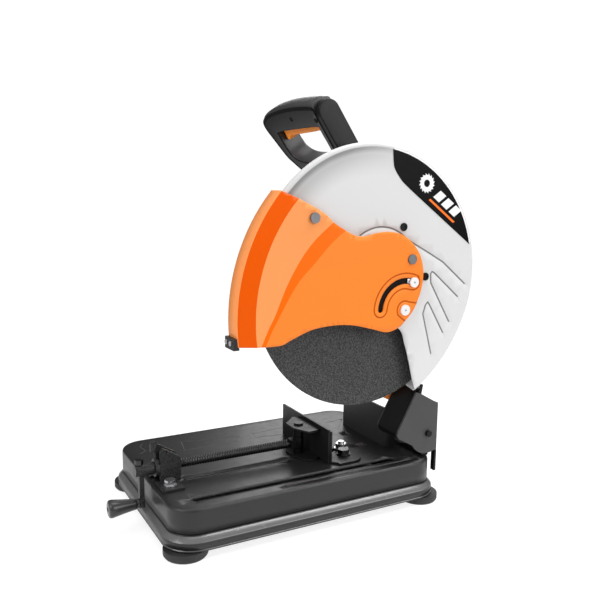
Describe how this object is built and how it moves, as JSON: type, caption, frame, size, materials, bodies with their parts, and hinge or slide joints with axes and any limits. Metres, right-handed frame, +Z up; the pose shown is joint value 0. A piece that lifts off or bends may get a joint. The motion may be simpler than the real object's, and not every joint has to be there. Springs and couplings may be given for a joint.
{
  "type": "abrasive chop saw",
  "caption": "Bench-top abrasive cut-off saw: tilting motor head with guarded disc, D-handle, pressed steel base, quick screw vise and swivelling fence.",
  "frame": {"origin": "on the floor, under the middle of the base, which is the centre of the four foot bolt holes", "axes": "+X to the operator's right along the disc's axle, +Z up, the operator stands on the -Y side"},
  "size_m": [0.3151, 0.5618, 0.6359],
  "materials": {
    "pan_paint": "gloss",
    "black_sheet": "satin",
    "grey_sheet": "satin",
    "cast_black": "rough",
    "rubber": "matt",
    "zinc": "zinc plated",
    "dark_steel": "oiled",
    "spring_steel": "plain",
    "brass": "plain",
    "arm_steel": "plain",
    "black_plastic": "satin",
    "cast_alloy": "as cast",
    "orange_paint": "gloss",
    "abrasive": "grainy resin-bonded abrasive",
    "copper_core": "laminated",
    "copper": "plain",
    "guard_paint": "satin silver",
    "guard_black": "matt",
    "orange_guard": "gloss",
    "orange_plastic": "gloss"
  },
  "bodies": {
    "base": {"base_pan": "pan_paint", "corner_plates": "black_sheet", "feet": "rubber", "pivot_bracket": "black_sheet", "pivot_shaft": "zinc", "shaft_nuts": "dark_steel", "return_spring": "spring_steel", "vise_bracket": "cast_black", "vise_bolts": "zinc", "half_nut": "brass", "fence_pivot_bolt": "zinc", "fence_lock_bolt": "zinc"},
    "lever": {"release_lever": "cast_black"},
    "carriage": {"swivel_block": "dark_steel"},
    "screw": {"vise_screw": "dark_steel", "crank_arm": "arm_steel", "crank_nut": "dark_steel"},
    "grip": {"crank_grip": "black_plastic"},
    "jaw": {"moving_jaw": "black_sheet", "jaw_pin": "zinc"},
    "fence": {"fence": "black_sheet"},
    "wheel": {"spindle": "dark_steel", "spindle_gear": "arm_steel", "inner_flange": "arm_steel", "abrasive_wheel": "abrasive", "outer_flange": "arm_steel", "wheel_bolt": "dark_steel"},
    "rotor": {"armature_shaft": "dark_steel", "armature_core": "copper_core", "commutator": "copper", "fan": "black_plastic"},
    "lock_button": {"lock_button": "black_plastic"},
    "front_guard": {"front_guard": "orange_guard", "guard_discs": "zinc", "guard_clip": "black_plastic", "clip_screws": "zinc"},
    "trigger": {"trigger": "orange_plastic"},
    "head": {"spark_chute": "grey_sheet", "arm_bolts": "dark_steel", "head_arm": "orange_paint", "gear_housing": "cast_alloy", "gear_cover": "cast_alloy", "bearings": "zinc", "stator": "copper_core", "motor_housing": "orange_plastic", "motor_end_cap": "black_plastic", "brush_holders": "black_plastic", "upper_guard": "guard_paint", "guard_back": "guard_black", "guard_screws": "dark_steel", "decal_plate": "guard_black", "guard_pivots": "zinc", "handle_front": "black_plastic", "handle_rear": "black_plastic", "handle_cap": "black_plastic", "handle_screws": "dark_steel", "handle_mount": "cast_alloy", "power_switch": "black_plastic", "cord_gland": "black_plastic"}
  },
  "joints": [
    {"name": "head_tilt", "type": "hinge", "parent": "base", "child": "head", "pos_m": [0, 0.202, 0.112], "axis": [1, 0, 0], "range_deg": [0, 36], "stiffness_Nm_per_rad": 34, "springref_deg": -42.97, "deforming": ["return_spring"]},
    {"name": "wheel_spin", "type": "hinge", "parent": "head", "child": "wheel", "pos_m": [0.1166, 0.0883, 0.347], "axis": [1, 0, 0], "continuous": true},
    {"name": "armature_spin", "type": "hinge", "parent": "head", "child": "rotor", "pos_m": [0, 0.1171, 0.3854], "axis": [1, 0, 0], "continuous": true},
    {"name": "front_guard_swing", "type": "hinge", "parent": "head", "child": "front_guard", "pos_m": [0.146, 0.1433, 0.3153], "axis": [-1, 0, 0], "range_deg": [0, 80]},
    {"name": "trigger_pull", "type": "slide", "parent": "head", "child": "trigger", "axis": [0, -0.5736, 0.8192], "range_m": [0, 0.004], "stiffness_N_per_m": 500, "springref_m": -0.004},
    {"name": "spindle_lock_press", "type": "slide", "parent": "head", "child": "lock_button", "axis": [0, 1, 0], "range_m": [0, 0.0018], "stiffness_N_per_m": 600, "springref_m": -0.003},
    {"name": "screw_turn", "type": "hinge", "parent": "carriage", "child": "screw", "pos_m": [0.03, 0, 0.09], "axis": [0, 1, 0], "range_deg": [-10700, 0]},
    {"name": "jaw_slide", "type": "slide", "parent": "base", "child": "carriage", "axis": [0, 1, 0], "range_m": [-0.12, 0]},
    {"name": "crank_grip_spin", "type": "hinge", "parent": "screw", "child": "grip", "pos_m": [0.03, -0.24, 0.04], "axis": [0, 1, 0], "continuous": true},
    {"name": "jaw_swivel", "type": "hinge", "parent": "carriage", "child": "jaw", "pos_m": [0.03, 0.0285, 0.09], "axis": [0, 0, 1], "range_deg": [-45, 0]},
    {"name": "fence_swing", "type": "hinge", "parent": "base", "child": "fence", "pos_m": [0.072, 0.088, 0.072], "axis": [0, 0, 1], "range_deg": [-45, 0]},
    {"name": "release_turn", "type": "hinge", "parent": "base", "child": "lever", "pos_m": [0.03, -0.207, 0.09], "axis": [0, 1, 0], "range_deg": [0, 60]}
  ],
  "couplings": [
    {"joint": "armature_spin", "follows": "wheel_spin", "ratio": -3.789},
    {"joint": "front_guard_swing", "follows": "head_tilt", "ratio": 2.2},
    {"joint": "jaw_slide", "follows": "screw_turn", "m_per_rad": 0.00063662},
    {"joint": "jaw_swivel", "follows": "fence_swing", "ratio": 1}
  ]
}
